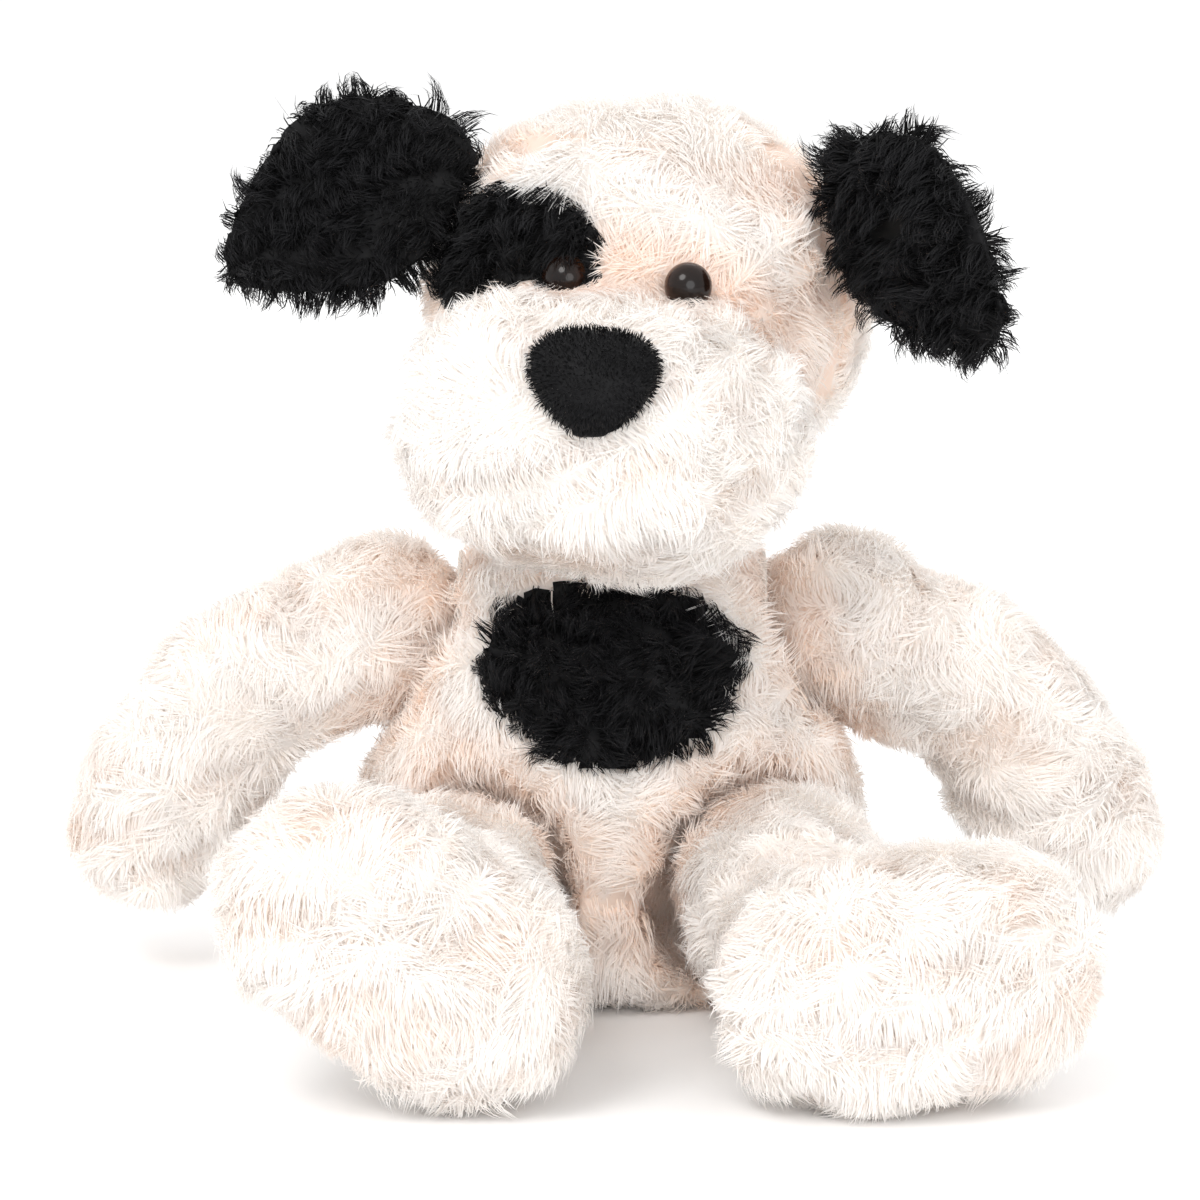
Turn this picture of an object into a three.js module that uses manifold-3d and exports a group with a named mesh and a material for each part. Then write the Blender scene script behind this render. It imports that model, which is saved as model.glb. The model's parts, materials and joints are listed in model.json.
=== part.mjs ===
// A seated soft-toy dog: sewn long-pile panels over fibre filling, with pellet pouches in the seat and
// feet. Millimetres, +Z up. The dog faces -Y, so +X is its own left. The origin is the middle of the
// flat seat panel it sits on. Each limb is sewn on by a ring of thread at its root and turns there.
import * as THREE from 'three';
import { mergeVertices } from 'three/addons/utils/BufferGeometryUtils.js';
import Module from 'manifold-3d';

const wasm = await Module();
wasm.setup();

// ---------- driving dimensions ----------
const GAP = 0.3; // between pieces that touch
const JOINT_GAP = 4; // between a limb's ball root and the socket pressed into the body
const THREAD_RADIUS = 0.8; // doubled sewing thread

// Body
const BODY_WIDTH = 148;
const BODY_DEPTH = 122;
const BODY_HEIGHT = 136;
const BODY_SKIN = 5; // backing cloth and packed pile
const SEAT_PANEL_HEIGHT = 9;
const BODY_BACK_OFFSET = -1;
const CHEST_PATCH = { width: 74, height: 50, z: 94.5, reachBack: -30 };
const SEAT_POUCH = { width: 62, depth: 44, height: 20, y: 20 };

// Neck and head
const NECK_RADIUS = 40;
const NECK_SIDE = 6; // how far the neck's pivot lies to the dog's left of the middle
const NECK_PROUD = 12; // how far the neck's dome stands above the top of the body
const NECK_THREAD_INSET = 14; // from the neck's radius to the ring's
const HEAD_TURN = -9; // degrees about Z: the dog looks a little to its right
const HEAD_ROLL = 3; // degrees about Y
const HEAD_SKIN = 5;
const SKULL = { width: 130, depth: 110, height: 114, z: 84, y: 0 };
const MUZZLE = { width: 116, depth: 86, height: 83, squareness: 0.9, x: -2, y: -61, z: 53.5 };
const EYE_PATCH = { width: 56, height: 40, x: -34, z: 95.5, tilt: 0.2 };
const BACK_SEAM_SHARE = 0.22; // of the skull's depth, behind its middle
const EYE = { radius: 6.4, height: 5.1, x: 17.5, z: 93, shank: 1.6, shankLength: 13 };
const DOME_STEPS = 4;
const EYE_SIDES = 10;
const EYE_RIM = { radiusShare: 0.8, backShare: 0.45 }; // of the eye's radius: the flat back and its depth
const WASHER = { radius: 7, thickness: 1.6 };
const NOSE = { width: 35, height: 31, depth: 19, x: 1, z: 72, skin: 3 };
const NOSE_FORM = { squareness: 0.92, taper: 0.62, lean: 17 }; // taper towards its foot; lean in degrees
const EAR = { width: 72, length: 57, thickness: 15, root: 60, droop: 19 };
const EAR_SEAT = [52 / 65, -19 / 55, 21 / 57]; // of the skull's half sizes, from its middle
const EAR_SQUARENESS = 0.66;
const EAR_SEAM = [-0.36, 0.16, 0.92]; // which way the left ear's seam runs up the skull
const EAR_OUTWARD = [1, 0.12, 0.1]; // which way the left ear points from its seam
const EAR_ROOT_PROUD = 0.45; // share of the root's radius that its middle stands off the skull
const EAR_GROOVE_ROOM = 1.5; // from an ear's root to the groove pressed for it
const EAR_TAPER = 1.6; // how soon the ear reaches its full width
const EAR_FORWARD = { left: 50, right: 4 }; // degrees that each ear is folded forward about its seam

// Arms
const SHOULDER_DROP = 37; // from the top of the body down to the shoulder's pivot
const SHOULDER_Y = 4;
const SHOULDER_SUNK = 20.5; // how deep the arm's ball root lies in the body's side
const ARM_ROOT_RADIUS = 28;
const ARM_NARROWING = 1.5; // from the root's radius to the middle's
const PAW_RADIUS = 29;
const ARM_REACH = [[0, 0, 0], [38, 3, -17], [65, 6, -57]]; // the sleeve's centre line, to the paw's middle
const LIMB_SKIN = 4.5;
const SHOULDER_THREAD_INSET = 8; // from the arm's root radius to the ring's

// Legs
const HIP_SPACING = 92;
const HIP_INSET = 8; // how far the hip's pivot lies inside the body's front
const LEG_RADIUS = 32;
const LEG_MIDDLE_RADIUS = 30;
const ANKLE_RADIUS = 28;
const ANKLE_OVERLAP = 20; // from the end of the leg's tube to the middle of the foot
const HIP_HEIGHT = 34;
const LEG_LENGTH = 92; // from the hip's pivot to the middle of the foot
const FOOT = { length: 106, width: 70, thickness: 56, squareness: 0.82, heelToLeg: 17 };
const SOLE_SEAM_SHARE = 0.14; // of the foot's thickness, from its middle towards the sole
const FLOOR_SINK = 1.2; // how far a foot's underside is pressed flat where it rests
// Each leg's side, splay and twist in degrees. Twist turns the toes outward from straight up.
const RIGHT_LEG = { side: -1, splay: -4, twist: 56 };
const LEFT_LEG = { side: 1, splay: 8, twist: 84 };
const HIP_THREAD_INSET = 9; // from the leg's root radius to the ring's
const FOOT_POUCH = { radius: 17, height: 16 };
const POUCH_SQUARENESS = 0.88;

// Tail
const TAIL = { radius: 10, length: 34, height: 24, skin: 3, gap: 2.5 };

// ---------- materials ----------
const cloth = (color, roughness = 0.95) =>
  new THREE.MeshStandardMaterial({ color, roughness, metalness: 0 });
const CREAM_PLUSH = cloth(0xf4ece4);
const BLACK_PLUSH = cloth(0x0b0a0c);
const FIBRE = cloth(0xf5f5f2);
const POUCH_CLOTH = cloth(0xd9d4c8);
const THREAD = cloth(0xe9e2d8, 0.7);
const EYE_GLOSS = cloth(0x0a0605, 0.08);
const WASHER_PLASTIC = cloth(0xe8e8e6, 0.5);

// ---------- helpers ----------
/** The same surface with shared corners, without normals, map coordinates or collapsed triangles. */
function welded(geometry) {
  const bare = geometry.clone();
  bare.deleteAttribute('normal');
  bare.deleteAttribute('uv');
  const merged = mergeVertices(bare, 1e-3);
  const corners = [...merged.index.array];
  const kept = [];
  for (let i = 0; i < corners.length; i += 3) {
    const [a, b, c] = corners.slice(i, i + 3);
    if (a !== b && b !== c && c !== a) kept.push(a, b, c);
  }
  merged.setIndex(kept);
  return merged;
}

/** The surface moved outward by a distance, or inward by a negative one. */
function grown(geometry, distance) {
  const moved = welded(geometry);
  if (distance === 0) return moved;
  moved.computeVertexNormals();
  const place = moved.attributes.position;
  const normal = moved.attributes.normal;
  for (let i = 0; i < place.count; i += 1) {
    place.setXYZ(
      i,
      place.getX(i) + distance * normal.getX(i),
      place.getY(i) + distance * normal.getY(i),
      place.getZ(i) + distance * normal.getZ(i),
    );
  }
  return moved;
}

function solid(geometry) {
  const closed = welded(geometry);
  const mesh = new wasm.Mesh({
    numProp: 3,
    vertProperties: new Float32Array(closed.attributes.position.array),
    triVerts: new Uint32Array(closed.index.array),
  });
  return new wasm.Manifold(mesh);
}

/**
 * A soft form: geometries joined and geometries pressed into it. Called with an inset, it gives the
 * form with that much taken off everywhere, so a skin is form(0) less form(thickness).
 */
function softForm(joined, pressed = []) {
  return (inset) => {
    let result = solid(grown(joined[0], -inset));
    for (const other of joined.slice(1)) result = result.add(solid(grown(other, -inset)));
    for (const dent of pressed) result = result.subtract(solid(grown(dent, inset)));
    return result;
  };
}

const skinOf = (form, thickness) => form(0).subtract(form(thickness));

/** A block between two corners, for cutting a skin into its panels. */
function block(low, high) {
  const size = high.map((value, i) => value - low[i]);
  const box = new THREE.BoxGeometry(...size);
  box.translate(...low.map((value, i) => value + size[i] / 2));
  return solid(box);
}

const FAR = 500;
/** The half of space on one side of a plane across an axis, half a gap short of the plane. */
function halfSpace(axis, sign, at) {
  const low = [-FAR, -FAR, -FAR];
  const high = [FAR, FAR, FAR];
  if (sign > 0) low[axis] = at + GAP / 2;
  else high[axis] = at - GAP / 2;
  return block(low, high);
}

const ball = (radius, around = 14, rows = 8) => new THREE.SphereGeometry(radius, around, rows);

/** A rounded cushion: a ball stretched to three sizes, squarer as squareness falls below 1. */
function cushion(width, depth, height, squareness = 1, around = 14, rows = 8) {
  const round = ball(1, around, rows);
  const place = round.attributes.position;
  const soften = (value) => Math.sign(value) * Math.abs(value) ** squareness;
  for (let i = 0; i < place.count; i += 1) {
    place.setXYZ(
      i,
      (soften(place.getX(i)) * width) / 2,
      (soften(place.getY(i)) * depth) / 2,
      (soften(place.getZ(i)) * height) / 2,
    );
  }
  return round;
}

/** An upright prism through Y with a round-cornered oval outline in X and Z. */
function ovalThroughY(width, height, x, z, yLow, yHigh, tilt = 0) {
  const outline = new THREE.Shape();
  outline.absellipse(0, 0, width / 2, height / 2, 0, 2 * Math.PI, false, tilt);
  const prism = new THREE.ExtrudeGeometry(outline, {
    depth: yHigh - yLow,
    bevelEnabled: false,
    curveSegments: 8,
  });
  prism.rotateX(Math.PI / 2);
  prism.translate(x, yHigh, z);
  return prism;
}

/**
 * A sewn tube along a centre line, closed by a ball at the root and a rounded end. Its radius runs
 * from root to middle to end. The level is a direction that the line never runs along.
 */
function sleeve(points, [rootRadius, middleRadius, endRadius], level, around = 12) {
  const line = new THREE.CatmullRomCurve3(points.map((p) => new THREE.Vector3(...p)));
  const length = line.getLength();
  const profile = [];
  const capSteps = 3;
  for (let i = 0; i <= capSteps; i += 1) {
    const angle = (i / capSteps) * (Math.PI / 2);
    profile.push([rootRadius * Math.sin(angle), -rootRadius * Math.cos(angle)]);
  }
  profile.push([middleRadius, length / 2]);
  for (let i = 0; i <= capSteps; i += 1) {
    const angle = (i / capSteps) * (Math.PI / 2);
    profile.push([endRadius * Math.cos(angle), length + endRadius * Math.sin(angle)]);
  }
  const straight = new THREE.LatheGeometry(
    profile.map(([r, s]) => new THREE.Vector2(Math.max(r, 0), s)),
    around,
  );
  const place = straight.attributes.position;
  const flat = new THREE.Vector3(...level);
  for (let i = 0; i < place.count; i += 1) {
    const along = place.getY(i);
    const u = THREE.MathUtils.clamp(along / length, 0, 1);
    const tangent = line.getTangentAt(u);
    const centre = line.getPointAt(u).addScaledVector(tangent, along - u * length);
    const across = new THREE.Vector3().crossVectors(flat, tangent).normalize();
    const third = new THREE.Vector3().crossVectors(tangent, across);
    centre.addScaledVector(across, -place.getX(i)).addScaledVector(third, place.getZ(i));
    place.setXYZ(i, centre.x, centre.y, centre.z);
  }
  return straight;
}

/** A ring of thread on the sphere midway in a joint's gap, its axis along a direction from the pivot. */
function threadRing(ballRadius, ringRadius, direction) {
  const sphere = ballRadius + JOINT_GAP / 2;
  const offset = Math.sqrt(sphere ** 2 - ringRadius ** 2);
  const ring = new THREE.TorusGeometry(ringRadius, Math.min(THREAD_RADIUS, JOINT_GAP / 3), 4, 12);
  const along = new THREE.Vector3(...direction).normalize();
  ring.applyQuaternion(new THREE.Quaternion().setFromUnitVectors(new THREE.Vector3(0, 0, 1), along));
  ring.translate(...along.multiplyScalar(offset).toArray());
  return ring;
}

/** Adds a named piece to a group, from a solid or straight from a geometry. */
function addPiece(group, name, shape, material) {
  let geometry = shape;
  if (!shape.isBufferGeometry) {
    const mesh = shape.getMesh();
    const places = new THREE.BufferAttribute(new Float32Array(mesh.vertProperties), 3);
    geometry = new THREE.BufferGeometry();
    geometry.setAttribute('position', places);
    geometry.setIndex([...mesh.triVerts]);
    geometry.computeVertexNormals();
  }
  const piece = new THREE.Mesh(geometry, material);
  piece.name = name;
  group.add(piece);
  return piece;
}

const dog = new THREE.Group();

// ---------- body outline ----------
// Shares of half the width, and of the height, from the edge of the flat seat to the neck.
const BODY_OUTLINE = [
  [0.8, 0], [0.94, 0.035], [1, 0.13], [1, 0.27], [0.97, 0.4],
  [0.88, 0.56], [0.785, 0.71], [0.69, 0.82], [0.54, 0.92], [0.3, 0.98], [0, 1],
];
const bodyCurve = new THREE.SplineCurve(
  BODY_OUTLINE.map(([r, h]) => new THREE.Vector2((r * BODY_WIDTH) / 2, h * BODY_HEIGHT)),
);

/** Half the body's width at a height. */
function bodyHalfWidth(height) {
  const points = bodyCurve.getPoints(200);
  return points.reduce((best, p) => (Math.abs(p.y - height) < Math.abs(best.y - height) ? p : best)).x;
}

const bodyDepthShare = BODY_DEPTH / BODY_WIDTH;
const bodyRound = new THREE.LatheGeometry([new THREE.Vector2(0, 0), ...bodyCurve.getPoints(8)], 16);
bodyRound.rotateX(Math.PI / 2);
bodyRound.scale(1, bodyDepthShare, 1);
bodyRound.translate(0, BODY_BACK_OFFSET, 0);

const neckPivot = [NECK_SIDE, SHOULDER_Y, BODY_HEIGHT + NECK_PROUD - NECK_RADIUS];
const neckDome = ball(NECK_RADIUS, 16, 10).rotateX(Math.PI / 2).translate(...neckPivot);

// ---------- arms ----------
const shoulderHeight = BODY_HEIGHT - SHOULDER_DROP;
const shoulderX = bodyHalfWidth(shoulderHeight) + ARM_ROOT_RADIUS - SHOULDER_SUNK;
const shoulderPivot = (side) => [side * shoulderX, SHOULDER_Y, shoulderHeight];
const armSleeve = (side) =>
  sleeve(
    ARM_REACH.map(([x, y, z]) => [side * x, y, z]),
    [ARM_ROOT_RADIUS, ARM_ROOT_RADIUS - ARM_NARROWING, PAW_RADIUS],
    [0, 1, 0],
  );

// ---------- legs ----------
const hipY = BODY_BACK_OFFSET - bodyHalfWidth(HIP_HEIGHT) * bodyDepthShare + HIP_INSET;
const hipPivot = (side) => [(side * HIP_SPACING) / 2, hipY, HIP_HEIGHT];

/** The leg's tube and foot about the hip's pivot, already turned and splayed as the dog sits. */
function legGeometries({ side, splay, twist }) {
  const outward = THREE.MathUtils.degToRad(side * splay);
  const tube = sleeve(
    [[0, 0, 0], [0, -LEG_LENGTH / 2, 0], [0, ANKLE_OVERLAP - LEG_LENGTH, 0]],
    [LEG_RADIUS, LEG_MIDDLE_RADIUS, ANKLE_RADIUS],
    [1, 0, 0],
  );
  const foot = cushion(FOOT.width, FOOT.thickness, FOOT.length, FOOT.squareness);
  foot.translate(0, 0, FOOT.heelToLeg);
  foot.rotateY(THREE.MathUtils.degToRad(side * twist));
  const lowest = new THREE.Box3().setFromBufferAttribute(foot.attributes.position).min.z;
  foot.translate(0, -LEG_LENGTH, -HIP_HEIGHT - lowest - FLOOR_SINK);
  tube.rotateZ(outward);
  foot.rotateZ(outward);
  return { tube, foot };
}

const socket = (pivot, radius, gap = JOINT_GAP) => ball(radius + gap).translate(...pivot);

// ---------- tail ----------
const tailY = BODY_BACK_OFFSET + bodyHalfWidth(TAIL.height) * bodyDepthShare + 1;
const tailPivot = [0, tailY, TAIL.height];
const tailSleeve = sleeve(
  [[0, 0, 0], [0, TAIL.length * 0.45, TAIL.length * 0.25], [0, TAIL.length * 0.6, TAIL.length * 0.8]],
  [TAIL.radius, TAIL.radius, TAIL.radius],
  [1, 0, 0],
  8,
);

// ---------- body pieces ----------
const bodyForm = softForm(
  [bodyRound, neckDome],
  [
    socket(shoulderPivot(1), ARM_ROOT_RADIUS),
    socket(shoulderPivot(-1), ARM_ROOT_RADIUS),
    socket(hipPivot(1), LEG_RADIUS),
    socket(hipPivot(-1), LEG_RADIUS),
    socket(tailPivot, TAIL.radius, TAIL.gap),
  ],
);
const bodySkin = skinOf(bodyForm, BODY_SKIN);
const chestOutline = (grow) => {
  const { width, height, z, reachBack } = CHEST_PATCH;
  return solid(ovalThroughY(width + grow, height + grow, 0, z, -FAR, reachBack + grow));
};
const frontHalf = halfSpace(1, -1, SHOULDER_Y);
const backHalf = halfSpace(1, 1, SHOULDER_Y);
const aboveSeat = halfSpace(2, 1, SEAT_PANEL_HEIGHT);
addPiece(dog, 'seat_panel', bodySkin.intersect(halfSpace(2, -1, SEAT_PANEL_HEIGHT)), CREAM_PLUSH);
const frontSkin = bodySkin.intersect(frontHalf).intersect(aboveSeat);
addPiece(dog, 'belly_panel', frontSkin.subtract(chestOutline(2 * GAP)), CREAM_PLUSH);
addPiece(dog, 'chest_patch', frontSkin.intersect(chestOutline(0)), BLACK_PLUSH);
const backSkin = bodySkin.intersect(backHalf).intersect(aboveSeat);
addPiece(dog, 'left_back_panel', backSkin.intersect(halfSpace(0, 1, 0)), CREAM_PLUSH);
addPiece(dog, 'right_back_panel', backSkin.intersect(halfSpace(0, -1, 0)), CREAM_PLUSH);

const pouchBase = BODY_SKIN + GAP;
const { width: pouchWidth, depth: pouchDepth, height: pouchHeight } = SEAT_POUCH;
const seatPouch = cushion(pouchWidth, pouchDepth, 2 * pouchHeight, POUCH_SQUARENESS, 12, 8)
  .translate(0, SEAT_POUCH.y, pouchBase + GAP);
const abovePouchBase = block([-FAR, -FAR, pouchBase], [FAR, FAR, FAR]);
addPiece(dog, 'seat_pellet_pouch', solid(seatPouch).intersect(abovePouchBase), POUCH_CLOTH);
addPiece(dog, 'body_filling', bodyForm(BODY_SKIN + GAP).subtract(solid(grown(seatPouch, GAP))), FIBRE);

// ---------- arm pieces ----------
for (const [word, side] of [['left', 1], ['right', -1]]) {
  const arm = new THREE.Group();
  arm.position.set(...shoulderPivot(side));
  dog.add(arm);
  const form = softForm([armSleeve(side)]);
  const skin = skinOf(form, LIMB_SKIN);
  const seamY = ARM_REACH[1][1] / 2;
  addPiece(arm, `${word}_arm_front_panel`, skin.intersect(halfSpace(1, -1, seamY)), CREAM_PLUSH);
  addPiece(arm, `${word}_arm_back_panel`, skin.intersect(halfSpace(1, 1, seamY)), CREAM_PLUSH);
  addPiece(arm, `${word}_arm_filling`, form(LIMB_SKIN + GAP), FIBRE);
  const ring = threadRing(ARM_ROOT_RADIUS, ARM_ROOT_RADIUS - SHOULDER_THREAD_INSET, [-side, 0, 0]);
  addPiece(arm, `${word}_shoulder_thread`, ring, THREAD);
}

// ---------- leg pieces ----------
for (const [word, sitting] of [['left', LEFT_LEG], ['right', RIGHT_LEG]]) {
  const leg = new THREE.Group();
  leg.position.set(...hipPivot(sitting.side));
  dog.add(leg);
  const { tube, foot } = legGeometries(sitting);
  const onFloor = block([-FAR, -FAR, -HIP_HEIGHT], [FAR, FAR, FAR]);
  const wholeForm = softForm([tube, foot]);
  const form = (inset) => wholeForm(inset).intersect(onFloor.translate([0, 0, inset]));
  const skin = skinOf(form, LIMB_SKIN);
  const soleY = -LEG_LENGTH - FOOT.thickness * SOLE_SEAM_SHARE;
  const behindSole = halfSpace(1, 1, soleY);
  const beforeSole = halfSpace(1, -1, soleY);
  addPiece(leg, `${word}_foot_sole`, skin.intersect(beforeSole), CREAM_PLUSH);
  const upper = skin.intersect(behindSole).intersect(halfSpace(2, 1, 0));
  const under = skin.intersect(behindSole).intersect(halfSpace(2, -1, 0));
  addPiece(leg, `${word}_leg_upper_panel`, upper, CREAM_PLUSH);
  addPiece(leg, `${word}_leg_under_panel`, under, CREAM_PLUSH);
  const middle = new THREE.Vector3();
  new THREE.Box3().setFromBufferAttribute(foot.attributes.position).getCenter(middle);
  const { radius, height } = FOOT_POUCH;
  const pouch = cushion(2 * radius, 2 * height, 2 * radius, POUCH_SQUARENESS, 10, 6)
    .translate(middle.x, soleY, middle.z);
  addPiece(leg, `${word}_foot_pellet_pouch`, solid(pouch).intersect(behindSole), POUCH_CLOTH);
  addPiece(leg, `${word}_leg_filling`, form(LIMB_SKIN + GAP).subtract(solid(grown(pouch, GAP))), FIBRE);
  const ring = threadRing(LEG_RADIUS, LEG_RADIUS - HIP_THREAD_INSET, [0, 1, 0]);
  addPiece(leg, `${word}_hip_thread`, ring, THREAD);
}

// ---------- tail pieces ----------
const tail = new THREE.Group();
tail.position.set(...tailPivot);
dog.add(tail);
const tailForm = softForm([tailSleeve]);
const tailSkin = skinOf(tailForm, TAIL.skin);
addPiece(tail, 'tail_left_panel', tailSkin.intersect(halfSpace(0, 1, 0)), CREAM_PLUSH);
addPiece(tail, 'tail_right_panel', tailSkin.intersect(halfSpace(0, -1, 0)), CREAM_PLUSH);
addPiece(tail, 'tail_filling', tailForm(TAIL.skin + GAP), FIBRE);

// ---------- head ----------
const head = new THREE.Group();
head.position.set(...neckPivot);
head.rotateZ(THREE.MathUtils.degToRad(HEAD_TURN));
head.rotateY(THREE.MathUtils.degToRad(HEAD_ROLL));
dog.add(head);

const neckThread = threadRing(NECK_RADIUS, NECK_RADIUS - NECK_THREAD_INSET, [0, 0, 1]);
neckThread.translate(...neckPivot);
addPiece(dog, 'neck_thread', neckThread, THREAD);

const skull = cushion(SKULL.width, SKULL.depth, SKULL.height, 1, 16, 10).translate(0, SKULL.y, SKULL.z);
const muzzle = cushion(MUZZLE.width, MUZZLE.depth, MUZZLE.height, MUZZLE.squareness, 16, 8)
  .translate(MUZZLE.x, MUZZLE.y, MUZZLE.z);
const neckSocket = ball(NECK_RADIUS + JOINT_GAP, 16, 10).rotateX(Math.PI / 2);

/** Where the skull's surface faces forward at a place in X and Z, with the way it faces there. */
function onSkull(x, z) {
  const [a, b, c] = [SKULL.width / 2, SKULL.depth / 2, SKULL.height / 2];
  const y = -b * Math.sqrt(1 - (x / a) ** 2 - ((z - SKULL.z) / c) ** 2);
  const normal = new THREE.Vector3(x / a ** 2, y / b ** 2, (z - SKULL.z) / c ** 2).normalize();
  return { point: new THREE.Vector3(x, y + SKULL.y, z), normal };
}

/** Places a geometry made about the origin, its +Y along the normal, at a point. */
function faceOut(geometry, { point, normal }, lift = 0) {
  geometry.applyQuaternion(new THREE.Quaternion().setFromUnitVectors(new THREE.Vector3(0, 1, 0), normal));
  const at = point.clone().addScaledVector(normal, lift);
  return geometry.translate(at.x, at.y, at.z);
}

// Ears: flat cushions of two panels, hinged along the seam that joins them to the skull.
const earRootRadius = EAR.thickness / 2;
const mirrored = ([x, y, z], side) => new THREE.Vector3(side * x, y, z);
function earFrame(side) {
  const skullHalf = new THREE.Vector3(SKULL.width, SKULL.depth, SKULL.height).multiplyScalar(0.5);
  const onUnitBall = mirrored(EAR_SEAT, side);
  const skullNormal = onUnitBall.clone().divide(skullHalf).normalize();
  const origin = onUnitBall.multiply(skullHalf).add(new THREE.Vector3(0, SKULL.y, SKULL.z));
  const seam = mirrored(EAR_SEAM, side);
  seam.addScaledVector(skullNormal, -seam.dot(skullNormal)).normalize();
  const outward = mirrored(EAR_OUTWARD, side);
  outward.addScaledVector(seam, -outward.dot(seam)).normalize();
  const thick = new THREE.Vector3().crossVectors(outward, seam);
  origin.addScaledVector(skullNormal, earRootRadius * EAR_ROOT_PROUD);
  return new THREE.Matrix4().makeBasis(outward, seam, thick).setPosition(origin);
}
const earGroove = (side) =>
  new THREE.CapsuleGeometry(earRootRadius + EAR_GROOVE_ROOM, EAR.root - EAR_GROOVE_ROOM, 2, 8)
    .applyMatrix4(earFrame(side));

const pressedIn = [neckSocket, earGroove(1), earGroove(-1)];
const skullForm = softForm([skull], pressedIn);
const muzzleForm = softForm([muzzle], [neckSocket]);
const skullSolid = skullForm(0);
const muzzleSolid = muzzleForm(0);

// Eyes: a glossy dome on a shank that passes through the skin into a washer.
const eyePocket = [];
for (const [word, side] of [['left', 1], ['right', -1]]) {
  const seat = onSkull(side * EYE.x, EYE.z);
  const dome = [];
  for (let i = 0; i <= DOME_STEPS; i += 1) {
    const angle = (i / DOME_STEPS) * (Math.PI / 2);
    dome.push(new THREE.Vector2(EYE.radius * Math.cos(angle), EYE.height * Math.sin(angle)));
  }
  dome[DOME_STEPS].x = 0;
  const back = -EYE.radius * EYE_RIM.backShare;
  const eyeProfile = (grow) => [
    new THREE.Vector2(0, -EYE.shankLength - grow),
    new THREE.Vector2(EYE.shank + grow, -EYE.shankLength - grow),
    new THREE.Vector2(EYE.shank + grow, back - grow),
    new THREE.Vector2(EYE.radius * EYE_RIM.radiusShare + grow, back - grow),
    ...dome.map((p, i) => new THREE.Vector2(p.x ? p.x + grow : 0, p.y + (i === DOME_STEPS ? grow : 0))),
  ];
  const eyeShape = (grow) => faceOut(new THREE.LatheGeometry(eyeProfile(grow), EYE_SIDES), seat, 1);
  addPiece(head, `${word}_eye`, eyeShape(0), EYE_GLOSS);
  const washerProfile = (inner, outer, half) => [
    [inner, -half], [outer, -half], [outer, half], [inner, half], [inner, -half],
  ].map(([r, s]) => new THREE.Vector2(r, s - HEAD_SKIN - GAP - WASHER.thickness));
  const washer = new THREE.LatheGeometry(
    washerProfile(EYE.shank + GAP, WASHER.radius, WASHER.thickness / 2), EYE_SIDES);
  addPiece(head, `${word}_eye_washer`, faceOut(washer, seat), WASHER_PLASTIC);
  const roomRadius = WASHER.radius + GAP;
  const room = new THREE.CylinderGeometry(roomRadius, roomRadius, WASHER.thickness + 2 * GAP, EYE_SIDES)
    .translate(0, -HEAD_SKIN - GAP - WASHER.thickness, 0);
  eyePocket.push(solid(eyeShape(GAP)), solid(faceOut(room, seat)));
}
const eyeRoom = eyePocket.reduce((all, one) => all.add(one));

// Nose: a small stuffed pad, narrower below, sewn to the front of the muzzle.
const nosePad = cushion(NOSE.width, NOSE.depth, NOSE.height, NOSE_FORM.squareness, 14, 7);
const noseAt = nosePad.attributes.position;
for (let i = 0; i < noseAt.count; i += 1) {
  const narrowing = 1 + (NOSE_FORM.taper * noseAt.getZ(i)) / NOSE.height;
  noseAt.setX(i, noseAt.getX(i) * narrowing);
}
const noseUp = (NOSE.z - MUZZLE.z) / (MUZZLE.height / 2);
const noseY = MUZZLE.y - (MUZZLE.depth / 2) * Math.sqrt(1 - noseUp ** 2);
nosePad.rotateX(THREE.MathUtils.degToRad(-NOSE_FORM.lean)).translate(NOSE.x, noseY - 1, NOSE.z);
const noseForm = softForm([nosePad]);
const muzzleRoom = solid(grown(muzzle, GAP));
addPiece(head, 'nose_cover', skinOf(noseForm, NOSE.skin).subtract(muzzleRoom), BLACK_PLUSH);
addPiece(head, 'nose_filling', noseForm(NOSE.skin + GAP).subtract(muzzleRoom), FIBRE);

// Head skins. The muzzle's skin passes through an opening in the skull's, as its seam allowance.
const skullSkin = skullSolid.subtract(skullForm(HEAD_SKIN)).subtract(muzzleRoom).subtract(eyeRoom);
const skullInside = skullForm(HEAD_SKIN + GAP);
const muzzleSkin = muzzleSolid
  .subtract(muzzleForm(HEAD_SKIN))
  .subtract(skullInside)
  .subtract(eyeRoom);
const patchOutline = (grow) => {
  const { width, height, x, z, tilt } = EYE_PATCH;
  return solid(ovalThroughY(width + grow, height + grow, x, z, -FAR, 0, tilt));
};
const backSeam = SKULL.depth * BACK_SEAM_SHARE;
const skullFront = skullSkin.intersect(halfSpace(1, -1, backSeam));
addPiece(head, 'head_left_panel', skullFront.intersect(halfSpace(0, 1, 0)), CREAM_PLUSH);
const rightFront = skullFront.intersect(halfSpace(0, -1, 0));
addPiece(head, 'head_right_panel', rightFront.subtract(patchOutline(2 * GAP)), CREAM_PLUSH);
addPiece(head, 'eye_patch', rightFront.intersect(patchOutline(0)), BLACK_PLUSH);
addPiece(head, 'head_back_panel', skullSkin.intersect(halfSpace(1, 1, backSeam)), CREAM_PLUSH);
addPiece(head, 'muzzle_top_panel', muzzleSkin.intersect(halfSpace(2, 1, MUZZLE.z)), CREAM_PLUSH);
addPiece(head, 'muzzle_chin_panel', muzzleSkin.intersect(halfSpace(2, -1, MUZZLE.z)), CREAM_PLUSH);
const headFilling = skullInside.add(muzzleForm(HEAD_SKIN + GAP)).subtract(eyeRoom);
addPiece(head, 'head_filling', headFilling, FIBRE);

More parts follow.
